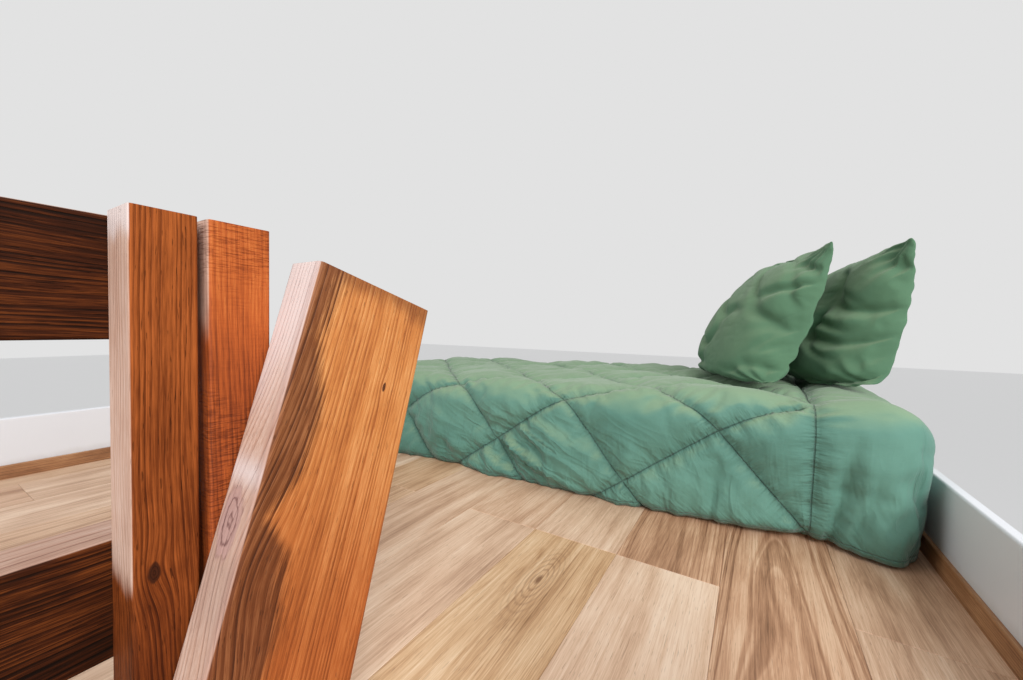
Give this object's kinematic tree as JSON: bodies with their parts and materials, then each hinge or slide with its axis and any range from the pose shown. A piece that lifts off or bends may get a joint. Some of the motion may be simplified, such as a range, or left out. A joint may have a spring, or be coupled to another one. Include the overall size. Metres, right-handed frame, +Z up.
{
  "type": "sleeping loft",
  "caption": "Sleeping loft of a small timber house: plank deck on joists with a ladder well, guard rails, leaning ladder and a made-up bed, carried by the walls.",
  "frame": {"origin": "centre of the back ledger's wall face", "axes": "+X along the end wall towards the ladder well, +Y into the end wall, +Z up"},
  "size_m": [2.32, 3.148, 2.8109],
  "materials": {
    "framing_pine": "planed bare pine",
    "plywood": "sanded plywood",
    "floor_planks": "pale oak plank floor, satin",
    "skirting_paint": "white satin paint on wood",
    "strip_stain": "brown stained wood",
    "guard_wood": "red-brown stained rough-sawn softwood, satin varnish",
    "ladder_wood": "orange-brown stained softwood, satin varnish",
    "mattress_ticking": "woven cotton ticking",
    "comforter_cotton": "sage green quilted microfibre",
    "pillow_cotton": "moss green microfibre"
  },
  "bodies": {
    "root": {"ledger_back": "framing_pine", "ledger_left": "framing_pine", "ledger_right": "framing_pine", "joist_1": "framing_pine", "joist_2": "framing_pine", "joist_3": "framing_pine", "joist_4": "framing_pine", "well_header": "framing_pine", "well_trimmer": "framing_pine", "leg_joist_1": "framing_pine", "leg_joist_2": "framing_pine", "front_beam": "framing_pine", "subfloor_main": "plywood", "subfloor_leg": "plywood", "plank_floor": "floor_planks", "skirting_back": "skirting_paint", "skirting_left": "skirting_paint", "skirting_right": "skirting_paint", "shoe_strip_back": "strip_stain", "shoe_strip_left": "strip_stain", "shoe_strip_right": "strip_stain", "guard_post_front": "guard_wood", "guard_post_back": "guard_wood", "corner_post": "guard_wood", "wall_post": "guard_wood", "top_rail": "guard_wood", "lower_rail": "guard_wood", "return_top_rail": "guard_wood", "return_lower_rail": "guard_wood", "stringer_left": "ladder_wood", "stringer_right": "ladder_wood", "tread_1": "ladder_wood", "tread_2": "ladder_wood", "tread_3": "ladder_wood", "tread_4": "ladder_wood", "tread_5": "ladder_wood", "tread_6": "ladder_wood", "tread_7": "ladder_wood", "tread_8": "ladder_wood", "mattress": "mattress_ticking", "comforter": "comforter_cotton", "pillow_front": "pillow_cotton", "pillow_back": "pillow_cotton"}
  },
  "joints": []
}
